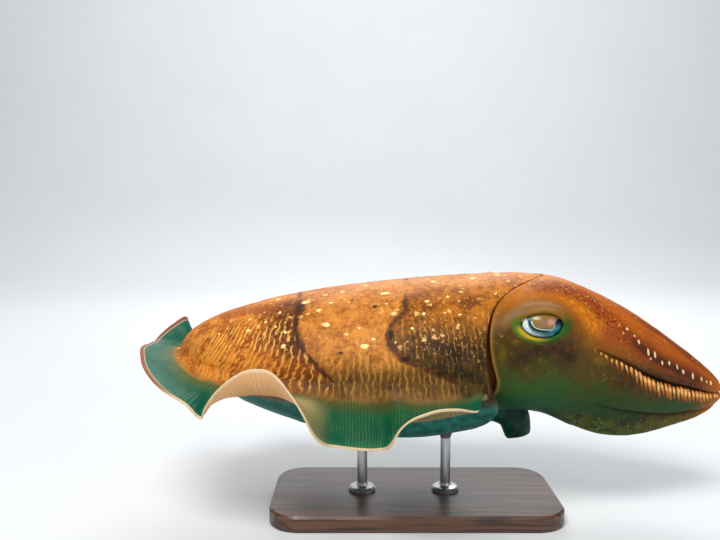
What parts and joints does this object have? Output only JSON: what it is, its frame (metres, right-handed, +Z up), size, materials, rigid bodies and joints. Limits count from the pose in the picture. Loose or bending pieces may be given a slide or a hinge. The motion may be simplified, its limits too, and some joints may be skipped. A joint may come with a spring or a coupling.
{
  "type": "broadclub cuttlefish",
  "caption": "Life-size cuttlefish swimming level, fins rippling, arms closed to a point, on a low stand with two rods.",
  "frame": {"origin": "centre of the stand base's flat underside", "axes": "+X from the tail to the arm tips, +Y to the animal's left, +Z up"},
  "size_m": [0.5058, 0.2517, 0.2095],
  "materials": {
    "mantle_skin": "moist orange-brown skin with pale wavy lines and spots",
    "head_skin": "moist orange skin, olive below",
    "arm_skin": "moist orange-brown skin, green below, pale bars",
    "fin_skin": "thin teal-green skin with a pale margin",
    "funnel_skin": "smooth dark teal skin",
    "eye": "wet cornea over a gold and silver iris",
    "stand_wood": "dark satin-lacquered hardwood",
    "stand_steel": "brushed"
  },
  "bodies": {
    "root": {"mantle": "mantle_skin", "head": "head_skin", "eye_right": "eye", "eye_left": "eye", "fin_right": "fin_skin", "fin_left": "fin_skin", "funnel": "funnel_skin", "arm_1_right": "arm_skin", "arm_1_left": "arm_skin", "arm_2_right": "arm_skin", "arm_2_left": "arm_skin", "arm_3_right": "arm_skin", "arm_3_left": "arm_skin", "arm_4_right": "arm_skin", "arm_4_left": "arm_skin", "stand_base": "stand_wood", "stand_rod_front": "stand_steel", "stand_rod_rear": "stand_steel"}
  },
  "joints": []
}
